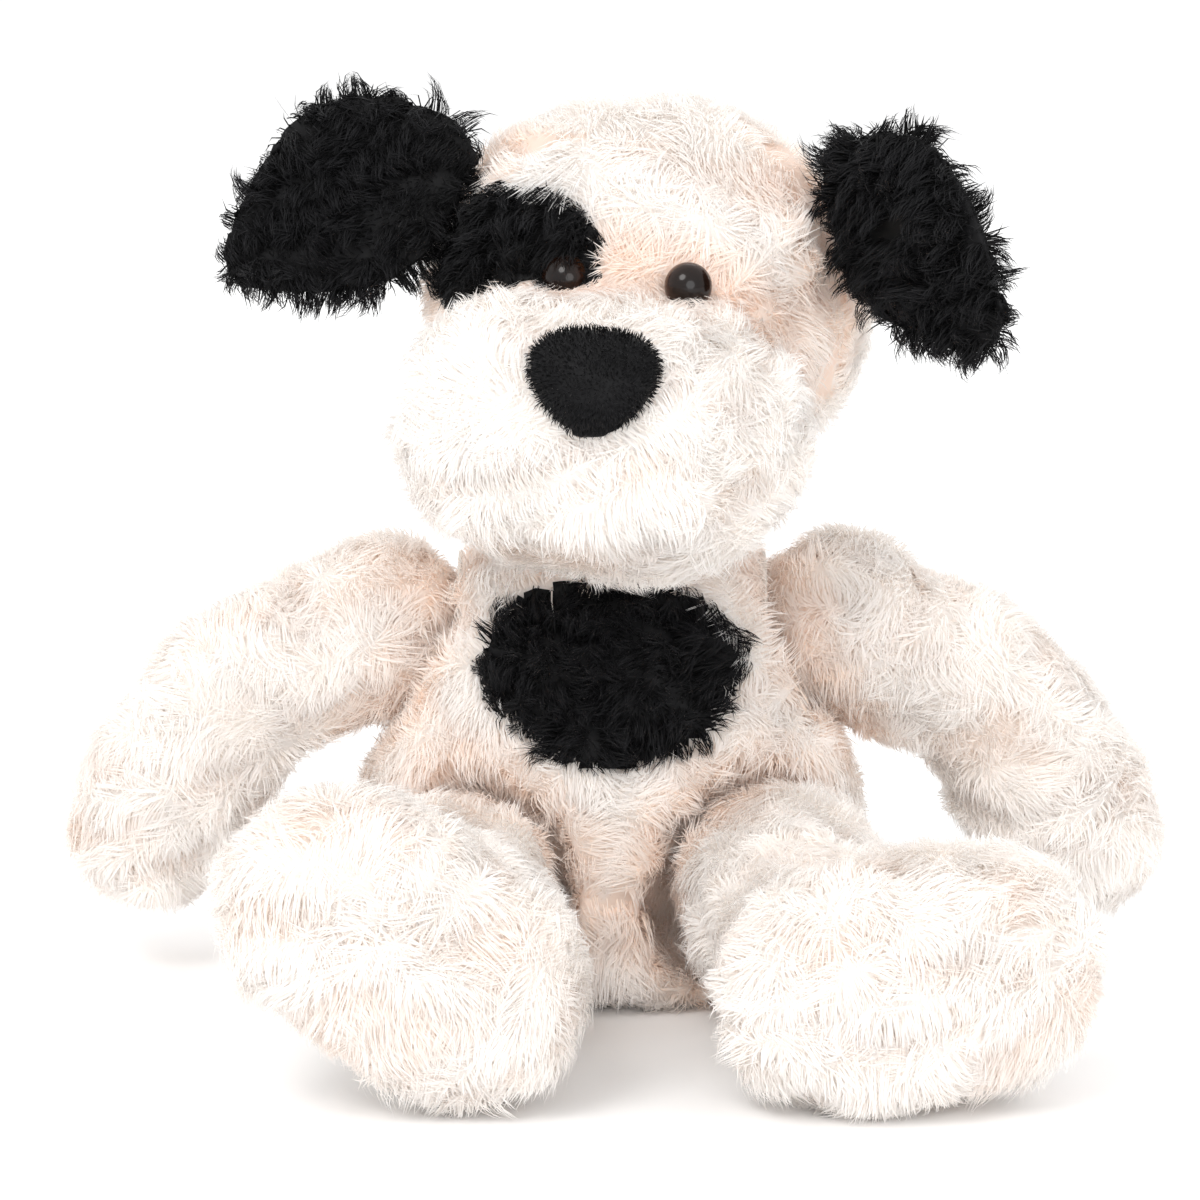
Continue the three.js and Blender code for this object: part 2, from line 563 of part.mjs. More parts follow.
// Ear pieces.
for (const [word, side] of [['left', 1], ['right', -1]]) {
  const ear = new THREE.Group();
  earFrame(side).decompose(ear.position, ear.quaternion, ear.scale);
  ear.rotateY(THREE.MathUtils.degToRad(-side * EAR_FORWARD[word]));
  head.add(ear);
  const pad = cushion(EAR.length + earRootRadius, EAR.width, EAR.thickness, EAR_SQUARENESS);
  const place = pad.attributes.position;
  for (let i = 0; i < place.count; i += 1) {
    const out = place.getX(i) / EAR.length + 0.5; // 0 at the root, 1 at the tip
    const taper = THREE.MathUtils.lerp(EAR.root / EAR.width, 1, Math.min(out * EAR_TAPER, 1));
    place.setY(i, place.getY(i) * taper - EAR.droop * out);
  }
  pad.translate(EAR.length / 2 - earRootRadius / 2, 0, 0);
  const whole = solid(pad);
  addPiece(ear, `${word}_ear_front_panel`, whole.intersect(halfSpace(2, -side, 0)), BLACK_PLUSH);
  addPiece(ear, `${word}_ear_back_panel`, whole.intersect(halfSpace(2, side, 0)), BLACK_PLUSH);
}

export default dog;
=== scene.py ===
import json
import math

import bpy
import numpy as np
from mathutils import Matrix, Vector
from mathutils.bvhtree import BVHTree


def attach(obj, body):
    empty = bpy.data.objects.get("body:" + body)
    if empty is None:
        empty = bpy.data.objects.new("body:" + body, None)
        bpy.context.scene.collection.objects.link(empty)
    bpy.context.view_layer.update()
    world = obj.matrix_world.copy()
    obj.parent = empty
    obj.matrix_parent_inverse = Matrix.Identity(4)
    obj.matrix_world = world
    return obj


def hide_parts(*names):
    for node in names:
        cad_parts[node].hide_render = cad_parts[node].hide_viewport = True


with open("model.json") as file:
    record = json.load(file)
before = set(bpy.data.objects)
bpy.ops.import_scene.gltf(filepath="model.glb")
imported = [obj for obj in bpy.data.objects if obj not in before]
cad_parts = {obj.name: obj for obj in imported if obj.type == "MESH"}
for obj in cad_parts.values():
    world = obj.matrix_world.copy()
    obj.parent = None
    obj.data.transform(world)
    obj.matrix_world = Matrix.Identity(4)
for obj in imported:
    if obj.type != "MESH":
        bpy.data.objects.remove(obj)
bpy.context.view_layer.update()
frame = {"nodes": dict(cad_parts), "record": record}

MM = 0.001

# ---- Camera, light and floor ----------------------------------------------------------------------

CAMERA_AIM = Vector((-3.4, 0, 106)) * MM
CAMERA_DISTANCE = 1.4
CAMERA_HEIGHT_ANGLE = math.radians(10)


def set_camera():
    camera = bpy.data.cameras.new("camera")
    camera.lens = 150
    camera.sensor_width = 36
    holder = bpy.data.objects.new("camera", camera)
    bpy.context.scene.collection.objects.link(holder)
    back = Vector((0, -math.cos(CAMERA_HEIGHT_ANGLE), math.sin(CAMERA_HEIGHT_ANGLE)))
    holder.location = CAMERA_AIM + back * CAMERA_DISTANCE
    holder.rotation_euler = (math.radians(90) - CAMERA_HEIGHT_ANGLE, 0, 0)
    bpy.context.scene.camera = holder


def add_light(name, place, aim, size, power, colour):
    light = bpy.data.lights.new(name, "AREA")
    light.shape = "DISK"
    light.size = size
    light.energy = power
    light.color = colour
    holder = bpy.data.objects.new(name, light)
    bpy.context.scene.collection.objects.link(holder)
    holder.location = place
    holder.rotation_euler = (Vector(aim) - Vector(place)).to_track_quat("-Z", "Y").to_euler()


def set_light():
    world = bpy.data.worlds.new("studio")
    bpy.context.scene.world = world
    world.use_nodes = True
    background = world.node_tree.nodes["Background"]
    background.inputs["Color"].default_value = (1, 1, 1, 1)
    background.inputs["Strength"].default_value = 1.1
    tree = Nodes(world.node_tree)
    place = tree.add("ShaderNodeTexCoord")
    height = tree.add("ShaderNodeSeparateXYZ", Vector=place.outputs["Generated"])
    sky = ramp(tree, height.outputs[2], [(0, (0.93, 0.93, 0.93)), (1, (1, 1, 1))])
    tree.tree.links.new(sky, background.inputs["Color"])
    centre = (0, 0, 0.12)
    add_light("key_light", (-0.9, -1.5, 1.9), centre, 1.1, 22, (1, 0.985, 0.97))
    add_light("fill_light", (0.5, -2.4, 0.7), centre, 1.6, 18, (1, 1, 1))
    add_light("rim_light", (0.2, 1.6, 1.6), centre, 1.2, 8, (1, 1, 1))
    bpy.context.scene.view_settings.view_transform = "Standard"
    bpy.context.scene.cycles.diffuse_bounces = 8
    bpy.context.scene.cycles.transmission_bounces = 8
    bpy.context.scene.cycles.max_bounces = 12


def add_floor():
    bpy.ops.object.select_all(action="DESELECT")
    bpy.ops.mesh.primitive_plane_add(size=12)
    floor = bpy.context.object
    floor.name = "floor"
    material = bpy.data.materials.new("pale_floor")
    material.use_nodes = True
    shader = material.node_tree.nodes["Principled BSDF"]
    shader.inputs["Base Color"].default_value = (0.95, 0.95, 0.95, 1)
    shader.inputs["Roughness"].default_value = 0.9
    floor.data.materials.append(material)


set_camera()
add_floor()

# ---- Materials ------------------------------------------------------------------------------------


class Nodes:
    """A short way to write a node tree: call a type with its inputs, get the node."""

    def __init__(self, tree):
        self.tree = tree

    def add(self, kind, settings=None, **inputs):
        node = self.tree.nodes.new(kind)
        for key, value in (settings or {}).items():
            setattr(node, key, value)
        for key, value in inputs.items():
            socket = node.inputs[int(key[1:])] if key[1:].isdigit() else node.inputs[key.replace("_", " ")]
            if isinstance(value, bpy.types.NodeSocket):
                self.tree.links.new(value, socket)
            else:
                socket.default_value = value
        return node


def new_material(name):
    material = bpy.data.materials.new(name)
    material.use_nodes = True
    return material, Nodes(material.node_tree), material.node_tree.nodes["Principled BSDF"]


def ramp(nodes, factor, stops):
    node = nodes.add("ShaderNodeValToRGB", Fac=factor)
    elements = node.color_ramp.elements
    while len(elements) < len(stops):
        elements.new(0.5)
    for element, (place, colour) in zip(elements, stops):
        element.position = place
        element.color = (*colour, 1)
    return node.outputs["Color"]


def new_group(name, inputs, outputs):
    """A node group with named inputs and outputs, each given as (name, socket type, value)."""
    tree = bpy.data.node_groups.new(name, "ShaderNodeTree")
    for title, kind, value in inputs:
        tree.interface.new_socket(title, in_out="INPUT", socket_type=kind).default_value = value
    for title, kind in outputs:
        tree.interface.new_socket(title, in_out="OUTPUT", socket_type=kind)
    nodes = Nodes(tree)
    return tree, nodes, nodes.add("NodeGroupInput"), nodes.add("NodeGroupOutput")


def tone_drift_group():
    """A colour that drifts a little lighter and darker over the object."""
    tree, nodes, given, result = new_group(
        "tone_drift",
        [("Color", "NodeSocketColor", (1, 1, 1, 1)), ("Scale", "NodeSocketFloat", 55),
         ("Darkest", "NodeSocketFloat", 0.95)],
        [("Color", "NodeSocketColor")])
    place = nodes.add("ShaderNodeTexCoord")
    drift = nodes.add("ShaderNodeTexNoise", Vector=place.outputs["Object"], Scale=given.outputs["Scale"],
                      Detail=3)
    tone = nodes.add("ShaderNodeMapRange", Value=drift.outputs["Fac"], From_Min=0.3, From_Max=0.7,
                     To_Min=given.outputs["Darkest"], To_Max=1.02)
    toned = nodes.add("ShaderNodeMix", {"data_type": "RGBA", "blend_type": "MULTIPLY"}, Factor=1.0,
                      _6=given.outputs["Color"], _7=tone.outputs[0])
    tree.links.new(toned.outputs[2], result.inputs["Color"])
    return tree


def tangle_group():
    """A tangle of fine fibres: a factor for colour and a normal for the bump."""
    tree, nodes, given, result = new_group(
        "tangle",
        [("Scale", "NodeSocketFloat", 220), ("Distortion", "NodeSocketFloat", 1.5),
         ("Distance", "NodeSocketFloat", 0.002)],
        [("Factor", "NodeSocketFloat"), ("Normal", "NodeSocketVector")])
    place = nodes.add("ShaderNodeTexCoord")
    noise = nodes.add("ShaderNodeTexNoise", Vector=place.outputs["Object"], Scale=given.outputs["Scale"],
                      Detail=6, Distortion=given.outputs["Distortion"])
    bump = nodes.add("ShaderNodeBump", Strength=0.6, Distance=given.outputs["Distance"],
                     Height=noise.outputs["Fac"])
    tree.links.new(noise.outputs["Fac"], result.inputs["Factor"])
    tree.links.new(bump.outputs[0], result.inputs["Normal"])
    return tree


tone_drift = tone_drift_group()
tangle = tangle_group()


def grouped(nodes, group, **inputs):
    return nodes.add("ShaderNodeGroup", {"node_tree": group}, **inputs)


def pile_material(name, stops, tint_and_shade_stops, roughness, specular, sheen, through):
    """Long pile: the colour runs from root to tip along the map's first axis, darker at the root as painted
    shade deep in the pile, and from the plain tone to the part's peach tint and painted crease shade along
    its second."""
    material, nodes, shader = new_material(name)
    along = nodes.add("ShaderNodeUVMap", {"uv_map": "OFBake"})
    split = nodes.add("ShaderNodeSeparateXYZ", Vector=along.outputs[0])
    plain = ramp(nodes, split.outputs[0], stops)
    tinted_and_shaded = ramp(nodes, split.outputs[0], tint_and_shade_stops)
    # The map's second axis mixes in the part's own peach tint and painted shade in creases and hollows.
    mixed = nodes.add("ShaderNodeMix", {"data_type": "RGBA"}, Factor=split.outputs[1], _6=plain, _7=tinted_and_shaded)
    toned = grouped(nodes, tone_drift, Color=mixed.outputs[2]).outputs["Color"]
    nodes.tree.links.new(toned, shader.inputs["Base Color"])
    shader.inputs["Roughness"].default_value = roughness
    shader.inputs["Specular IOR Level"].default_value = specular
    shader.inputs["Sheen Weight"].default_value = sheen
    shader.inputs["Sheen Roughness"].default_value = 0.5
    if through:
        behind = nodes.add("ShaderNodeBsdfTranslucent", Color=toned)
        both = nodes.add("ShaderNodeMixShader", Fac=through, _1=shader.outputs[0], _2=behind.outputs[0])
        nodes.tree.links.new(both.outputs[0], nodes.tree.nodes["Material Output"].inputs["Surface"])
    return material


# Colours from root to middle to tip of a strand (darker at the root: painted shade deep in the pile), plain
# and with painted crease shade.
CREAM_PLAIN = [(0, (0.985, 0.955, 0.925)), (0.45, (0.987, 0.968, 0.95)), (1, (0.99, 0.98, 0.97))]
CREAM_TINT_AND_CREASE_SHADE = [(0, (0.975, 0.76, 0.60)), (0.5, (0.98, 0.85, 0.76)), (1, (0.985, 0.93, 0.89))]
BLACK_PLAIN = [(0, (0.002,) * 3), (0.6, (0.006, 0.006, 0.007)), (1, (0.016, 0.016, 0.018))]
BLACK_TINT_AND_CREASE_SHADE = [(0, (0.001,) * 3), (0.6, (0.003,) * 3), (1, (0.007, 0.007, 0.008))]
cream_pile = pile_material("cream_pile", CREAM_PLAIN, CREAM_TINT_AND_CREASE_SHADE, roughness=0.9, specular=0.08, sheen=0.25,
                           through=0.42)
black_pile = pile_material("black_pile", BLACK_PLAIN, BLACK_TINT_AND_CREASE_SHADE, roughness=0.6, specular=0.16, sheen=0.02,
                           through=0)


def fibre_material(name, colour, scale, roughness=0.9):
    """Loose fibre, plain cloth or twisted thread: a tangled bump and a slight drift of tone."""
    material, nodes, shader = new_material(name)
    fibres = grouped(nodes, tangle, Scale=scale)
    tone = ramp(nodes, fibres.outputs["Factor"], [(0.3, tuple(0.82 * c for c in colour)), (0.7, colour)])
    nodes.tree.links.new(tone, shader.inputs["Base Color"])
    nodes.tree.links.new(fibres.outputs["Normal"], shader.inputs["Normal"])
    shader.inputs["Roughness"].default_value = roughness
    return material


def eye_material():
    """Dark glossy plastic, near black in the middle and brown towards the rim, under a clear coat."""
    material, nodes, shader = new_material("eye_gloss")
    along = nodes.add("ShaderNodeUVMap", {"uv_map": "OFBake"})
    split = nodes.add("ShaderNodeSeparateXYZ", Vector=along.outputs[0])
    depth = ramp(nodes, split.outputs[0], [(0, (0.006, 0.004, 0.004)), (0.7, (0.012, 0.006, 0.004)),
                                           (0.9, (0.025, 0.01, 0.006)), (1, (0.09, 0.035, 0.015))])
    toned = grouped(nodes, tone_drift, Color=depth, Scale=300, Darkest=0.8)
    nodes.tree.links.new(toned.outputs["Color"], shader.inputs["Base Color"])
    shader.inputs["Roughness"].default_value = 0.2
    shader.inputs["Specular IOR Level"].default_value = 0.12
    shader.inputs["Coat Weight"].default_value = 0.35
    shader.inputs["Coat Roughness"].default_value = 0.03
    return material


def plastic_material():
    """Pale moulded plastic with a faint grain."""
    material, nodes, shader = new_material("washer_plastic")
    grain = grouped(nodes, tangle, Scale=900, Distortion=0.2, Distance=0.0002)
    tone = ramp(nodes, grain.outputs["Factor"], [(0.3, (0.78, 0.78, 0.76)), (0.7, (0.86, 0.86, 0.84))])
    nodes.tree.links.new(tone, shader.inputs["Base Color"])
    nodes.tree.links.new(grain.outputs["Normal"], shader.inputs["Normal"])
    shader.inputs["Roughness"].default_value = 0.45
    return material


loose_fibre = fibre_material("loose_fibre", (0.9, 0.9, 0.88), 220)
pouch_cloth = fibre_material("pouch_cloth", (0.85, 0.84, 0.8), 700)
sewing_thread = fibre_material("sewing_thread", (0.88, 0.84, 0.78), 1500, 0.7)
eye_gloss = eye_material()
washer_plastic = plastic_material()

set_light()

# ---- Stuffed forms --------------------------------------------------------------------------------

SKIN_DEPTH = 3.4 * MM
VOXEL = 5 * MM
FLOOR_CLEARANCE = 0.4 * MM


def alone(*objects):
    """Selects only these objects, with the first one active."""
    bpy.ops.object.select_all(action="DESELECT")
    for each in objects:
        each.select_set(True)
    bpy.context.view_layer.objects.active = objects[0]


def finished(piece, kind, **settings):
    """Applies one modifier to a piece."""
    alone(piece)
    modifier = piece.modifiers.new(kind.lower(), kind)
    for key, value in settings.items():
        setattr(modifier, key, value)
    bpy.ops.object.modifier_apply(modifier=modifier.name)


def coordinates(mesh):
    flat = np.empty(len(mesh.vertices) * 3, np.float32)
    mesh.vertices.foreach_get("co", flat)
    return flat.reshape(-1, 3).astype(float)


def place_vertices(mesh, points):
    mesh.vertices.foreach_set("co", points.astype(np.float32).ravel())
    mesh.update()


def vertex_normals(mesh):
    flat = np.empty(len(mesh.vertices) * 3, np.float32)
    mesh.vertex_normals.foreach_get("vector", flat)
    return flat.reshape(-1, 3).astype(float)


def tree_of(names):
    """A search tree over the triangles of these CAD nodes."""
    points, faces, start = [], [], 0
    for name in names:
        mesh = frame["nodes"][name].data
        points += [v.co.copy() for v in mesh.vertices]
        faces += [[start + i for i in p.vertices] for p in mesh.polygons]
        start += len(mesh.vertices)
    return BVHTree.FromPolygons(points, faces)


def stuffed_form(name, panels, inner, depth, voxel):
    """One closed form over the panels of a stuffed part, at the depth where the cloth lies."""
    copies = []
    for node in panels + inner:
        copy = bpy.data.objects.new(name, frame["nodes"][node].data.copy())
        bpy.context.scene.collection.objects.link(copy)
        copies.append(copy)
    alone(*copies)
    if len(copies) > 1:
        bpy.ops.object.join()
    form = bpy.context.object
    form.name = name
    bpy.ops.object.mode_set(mode="EDIT")
    bpy.ops.mesh.select_all(action="SELECT")
    bpy.ops.mesh.remove_doubles(threshold=0.00002)
    bpy.ops.object.mode_set(mode="OBJECT")
    form.data.remesh_voxel_size = voxel
    bpy.ops.object.voxel_remesh()
    finished(form, "SMOOTH", factor=0.5, iterations=2)
    mesh = form.data
    place_vertices(mesh, coordinates(mesh) - vertex_normals(mesh) * depth)
    finished(form, "SMOOTH", factor=0.5, iterations=2)
    finished(form, "SUBSURF", levels=1, render_levels=1)
    return form


def lumpy(form, height):
    """Raises the form's surface into soft lumps, where the dense foot of the pile gathers."""
    points = coordinates(form.data)
    place_vertices(form.data, points + vertex_normals(form.data) * (lumps(points) * height)[:, None])


def mark_panels(form, panels, depth):
    """Gives each face the number of the panel it belongs to."""
    mesh = form.data
    trees = [tree_of([panel]) for panel in panels]
    for face in mesh.polygons:
        out = face.center + face.normal * depth
        distances = [tree.find_nearest(out)[3] for tree in trees]
        face.material_index = distances.index(min(distances))


def stored(mesh, name, kind, values):
    attribute = mesh.attributes.new(name, kind, "POINT")
    key = "vector" if kind == "FLOAT_VECTOR" else "value"
    attribute.data.foreach_set(key, np.asarray(values, np.float32).ravel())


def fetched(mesh, name, width):
    attribute = mesh.attributes[name]
    key = "vector" if width == 3 else "value"
    flat = np.empty(len(mesh.vertices) * width, np.float32)
    attribute.data.foreach_get(key, flat)
    return flat.reshape(-1, width).astype(float)


FARTHEST_LOOKED = 30 * MM


def clearance(mesh, others):
    """How far each vertex is from the nearest surface of other CAD nodes; negative inside one."""
    found = np.full(len(mesh.vertices), FARTHEST_LOOKED)
    if not others:
        return found
    tree = tree_of(others)
    for vertex in mesh.vertices:
        hit = tree.find_nearest(vertex.co, FARTHEST_LOOKED)
        if hit[0] is not None:
            inside = (vertex.co - hit[0]).dot(hit[1]) < 0
            found[vertex.index] = -hit[3] if inside else hit[3]
    return found


def seam_distance(mesh, first, second):
    """How far each vertex is from the seam where two sets of panels meet."""
    return np.maximum(np.abs(clearance(mesh, first)), np.abs(clearance(mesh, second)))


def split_by_panel(form, panels):
    """The form cut into its panels, by name. Each panel is marked with a material of its own for the cut."""
    marks = {bpy.data.materials.new("mark"): panel for panel in panels}
    numbers = [face.material_index for face in form.data.polygons]
    form.data.materials.clear()
    for mark in marks:
        form.data.materials.append(mark)
    form.data.polygons.foreach_set("material_index", numbers)
    alone(form)
    bpy.ops.object.mode_set(mode="EDIT")
    bpy.ops.mesh.select_all(action="SELECT")
    bpy.ops.mesh.separate(type="MATERIAL")
    bpy.ops.object.mode_set(mode="OBJECT")
    parts = {}
    for part in bpy.context.selected_objects:
        mark = part.data.materials[part.data.polygons[0].material_index]
        parts[marks[mark]] = part
        part.data.materials.clear()
    for mark in marks:
        bpy.data.materials.remove(mark)
    return parts


# ---- Pile -----------------------------------------------------------------------------------------


def wavy(points, wavelength, seed, count=5):
    """A smooth random vector at each point, that changes over about one wavelength."""
    random = np.random.default_rng(seed)
    total = np.zeros_like(points)
    for _ in range(count):
        direction = random.normal(size=3)
        direction /= np.linalg.norm(direction)
        phase = random.uniform(0, 2 * math.pi, 3)
        turn = points @ direction * (2 * math.pi / wavelength * random.uniform(0.7, 1.4))
        axis = random.normal(size=3)
        total += np.sin(turn[:, None] + phase) * axis
    return total / math.sqrt(count)


SWIRL_LENGTH = 46 * MM
SWIRL_DEPTH = 8 * MM
LUMP_LENGTH = 23 * MM


def lumps(points):
    """Height of the soft lumps in the pile, about -1 to 1: long curved ridges, as in brushed plush."""
    warped = points + wavy(points, SWIRL_LENGTH, 21) * SWIRL_DEPTH
    fine = wavy(warped, LUMP_LENGTH, 22)
    return np.clip(0.78 * fine[:, 0] + 0.5 * fine[:, 1], -1.2, 1.2)


def slope(points):
    """The direction in which the lumps fall away, per millimetre."""
    step = 1.0 * MM
    found = np.empty_like(points)
    for axis in range(3):
        shift = np.zeros(3)
        shift[axis] = step
        found[:, axis] = lumps(points + shift) - lumps(points - shift)
    return -found / 2


def unit(vectors):
    return vectors / np.maximum(np.linalg.norm(vectors, axis=1, keepdims=True), 1e-9)


def on_surface(mesh, per_square_metre, random):
    """Random points spread evenly over a mesh: place, smooth normal, room to other parts, free height."""
    mesh.calc_loop_triangles()
    corners = np.empty(len(mesh.loop_triangles) * 3, np.int32)
    mesh.loop_triangles.foreach_get("vertices", corners)
    corners = corners.reshape(-1, 3)
    points = coordinates(mesh)
    a, b, c = (points[corners[:, k]] for k in range(3))
    areas = np.linalg.norm(np.cross(b - a, c - a), axis=1) / 2
    total = areas.sum()
    count = int(per_square_metre * total)
    steps = (np.arange(count) + random.uniform(0, 1, count)) / count
    chosen = np.minimum(np.searchsorted(np.cumsum(areas) / total, steps), len(areas) - 1)
    u, v = random.uniform(size=(2, count))
    over = u + v > 1
    u[over], v[over] = 1 - u[over], 1 - v[over]
    weights = np.stack([1 - u - v, u, v], 1)[:, :, None]

    def mixed(values):
        return (values[corners[chosen]] * weights).sum(1)

    return (mixed(points), unit(mixed(fetched(mesh, "lie", 3))), mixed(fetched(mesh, "room", 1))[:, 0],
            mixed(fetched(mesh, "free", 1))[:, 0])


PILES = {
    "cream": (
        dict(locks=900000, fibres=1, radius=0.01 * MM, rise=4.2 * MM, reach=8.0 * MM, gather=0,
             width=0.5 * MM, steps=2, swirl=44 * MM, stray=0.05, mix=0.06, twist=0.15),
        dict(locks=38000, fibres=27, radius=4.0 * MM, rise=4.6 * MM, reach=8.0 * MM, gather=0.3,
             width=0.3 * MM, steps=2, swirl=30 * MM, stray=0.05, mix=0.22, twist=0.15),
    ),
    "black": (
        dict(locks=500000, fibres=1, radius=0.01 * MM, rise=6.0 * MM, reach=5 * MM, gather=0,
             width=0.45 * MM, steps=2, swirl=26 * MM, stray=0.2, mix=0.3, twist=0.6),
        dict(locks=52000, fibres=38, radius=2.6 * MM, rise=7.6 * MM, reach=5.0 * MM, gather=0.55,
             width=0.27 * MM, steps=3, swirl=26 * MM, stray=0.14, mix=0.5, twist=0.6),
    ),
    "nose": (
        dict(locks=2500000, fibres=1, radius=0.01 * MM, rise=2.4 * MM, reach=1.2 * MM, gather=0,
             width=0.3 * MM, steps=2, swirl=12 * MM, stray=0.2, mix=0.4, twist=0.6),
    ),
}


COMBED = (0, 0, -0.5)  # the pile lies a little downwards
ROOT_SUNK = 0.4 * MM
CLOTH = 1.0 * MM
CREASE_SHADE_REACH = 17 * MM


def pile(mesh, kind, seed, tint):
    """The fibres of one panel, layer by layer: places, faces and places on the colour map."""
    layers = [pile_layer(mesh, settings, seed + 3 * number, tint)
              for number, settings in enumerate(PILES[kind])]
    start = 0
    quads, lasts = [], []
    for layer in layers:
        quads.append(layer[1] + start)
        lasts.append(layer[2] + start)
        start += len(layer[0])
    points, places = (np.concatenate([layer[k] for layer in layers]) for k in (0, 3))
    return points, np.concatenate(quads), np.concatenate(lasts), places


def pile_layer(mesh, settings, seed, tint):
    """One layer of the pile, in locks whose fibres rise and bend over together."""
    random = np.random.default_rng(seed)
    centres, normals, rooms, free = on_surface(mesh, settings["locks"], random)
    keep = free > 0.3 * MM
    centres, normals, rooms, free = centres[keep], normals[keep], rooms[keep], free[keep]
    count = len(centres)
    heights = lumps(centres)
    fall = slope(centres)
    lay = wavy(centres, settings["swirl"], 11) * 0.8 + fall * 2.2 + np.array(COMBED)
    lay += random.normal(size=lay.shape) * settings["mix"]
    lay -= (lay * normals).sum(1)[:, None] * normals
    lay = lay / np.maximum(np.linalg.norm(lay, axis=1, keepdims=True), 0.5)
    scale = random.uniform(0.75, 1.2, count)
    fit = np.clip(free / (settings["rise"] * scale), 0.25, 1)
    rise = settings["rise"] * scale * fit
    reach = settings["reach"] * scale * (0.4 + 0.6 * fit)
    side = unit(np.cross(normals, lay + 1e-4))
    per = settings["fibres"]
    owner = np.repeat(np.arange(count), per)
    distance = settings["radius"] * np.sqrt(random.uniform(0, 1, len(owner))) * 1.3
    angle = random.uniform(0, 2 * math.pi, len(owner))
    ahead = np.cross(side, normals)
    around = side[owner] * np.cos(angle)[:, None] + ahead[owner] * np.sin(angle)[:, None]
    offset = around * distance[:, None]
    roots = centres[owner] + offset - normals[owner] * ROOT_SUNK
    length = random.uniform(0.8, 1.08, len(owner)) * (1.08 - 0.3 * (distance / settings["radius"]) ** 2)
    stray = random.normal(size=roots.shape) * settings["stray"]
    up = normals[owner] * (rise[owner] * length)[:, None]
    over = (lay[owner] + stray) * (reach[owner] * length)[:, None]
    steps = settings["steps"]
    direction = unit(up + over)
    rounded = offset / settings["radius"] * 0.6 if per > 1 else fall[owner]
    twist = random.normal(size=roots.shape) * settings["twist"]
    across = unit(np.cross(direction, normals[owner] + rounded * 0.5 + twist))
    facing = np.cross(direction, across)
    flip = (facing * (normals[owner] + rounded)).sum(1) < 0
    across[flip] *= -1
    points, places = [], []
    for step in range(steps + 1):
        share = step / steps
        line = (roots + up * (1 - (1 - share) ** 2) + over * share ** 1.7
                - offset * (settings["gather"] * share ** 1.5))
        if step < steps:
            half = settings["width"] / 2 * (1 - 0.3 * share)
            points += [line - across * half, line + across * half]
            places += [share, share]
        else:
            points.append(line)
            places.append(1.0)
    points = np.stack(points, 1)
    each = points.shape[1]
    first = np.arange(len(owner)) * each
    quads = np.concatenate([first[:, None] + np.array([2 * s + 1, 2 * s, 2 * s + 2, 2 * s + 3])
                            for s in range(steps - 1)])
    last = first[:, None] + np.array([2 * steps - 1, 2 * steps - 2, 2 * steps])
    along = np.tile(places, (len(owner), 1))
    # Each fibre's part tint and painted crease and hollow shade, with a little random tone, set on the map's
    # second axis.
    tinted_and_shaded = tint_and_crease_shade(heights, rooms, tint)[owner] + random.normal(size=len(owner)) * 0.06
    rows = np.repeat(np.clip(tinted_and_shaded, 0.01, 0.99)[:, None], each, 1)
    return points.reshape(-1, 3), quads, last, np.stack([along.ravel(), rows.ravel()], 1)


def tint_and_crease_shade(heights, rooms, tint):
    """How much of the peach tone shows, 0 to 1: the part's own tint, plus painted shade, most in creases
    between parts and some in the hollows.
    """
    # Painted shade in creases between parts fades out over this reach; the hollows between lumps get painted
    # shade too.
    crease = np.clip(1 - rooms / CREASE_SHADE_REACH, 0, 1)
    return np.clip(tint + 0.25 * np.clip(-heights, 0, 1) + 0.8 * crease, 0, 1)


def planted(skin, name, kind, material, seed, tint):
    """One piece from a panel's cloth and its pile, with the map that the pile materials read."""
    points, quads, lasts, places = pile(skin.data, kind, seed, tint)
    finished(skin, "SOLIDIFY", thickness=CLOTH, offset=-1)
    base = coordinates(skin.data)
    start = len(base)
    faces = [list(p.vertices) for p in skin.data.polygons]
    counts = np.array([len(f) for f in faces] + [4] * len(quads) + [3] * len(lasts), np.int32)
    corners = np.concatenate([np.concatenate(faces), (quads + start).ravel(), (lasts + start).ravel()])
    mesh = bpy.data.meshes.new(name)
    every = np.concatenate([base, points])
    every[:, 2] = np.maximum(every[:, 2], FLOOR_CLEARANCE)
    mesh.vertices.add(len(every))
    mesh.vertices.foreach_set("co", every.astype(np.float32).ravel())
    mesh.loops.add(len(corners))
    mesh.loops.foreach_set("vertex_index", corners.astype(np.int32))
    mesh.polygons.add(len(counts))
    mesh.polygons.foreach_set("loop_start", np.concatenate([[0], np.cumsum(counts)[:-1]]).astype(np.int32))
    mesh.polygons.foreach_set("loop_total", counts)
    low, high = base.min(0), base.max(0)
    flat = (base - low) / np.maximum(high - low, 1e-6)
    # The cloth gets the same part tint and painted crease and hollow shade on the map's second axis, spread
    # a little by height.
    tone = tint_and_crease_shade(lumps(base), fetched(skin.data, "room", 1)[:, 0], tint)
    base_place = np.stack([0.42 + 0.04 * flat[:, 0], np.clip(tone + 0.05 * flat[:, 2], 0, 1)], 1)
    place = np.concatenate([base_place, places])
    layer = mesh.uv_layers.new(name="OFBake")
    layer.data.foreach_set("uv", place[corners].astype(np.float32).ravel())
    mesh.update(calc_edges=True)
    mesh.polygons.foreach_set("use_smooth", np.ones(len(counts), bool))
    mesh.materials.append(material)
    piece = bpy.data.objects.new(name, mesh)
    bpy.context.scene.collection.objects.link(piece)
    bpy.data.objects.remove(skin)
    return piece


# ---- The dog --------------------------------------------------------------------------------------

bodies = frame["record"]["behaviour"]["bodies"]


def others_of(body):
    names = []
    for other, nodes in bodies.items():
        if other != body:
            names += [n for n in nodes if n.endswith(("_panel", "_sole", "_patch", "_cover"))]
    return names


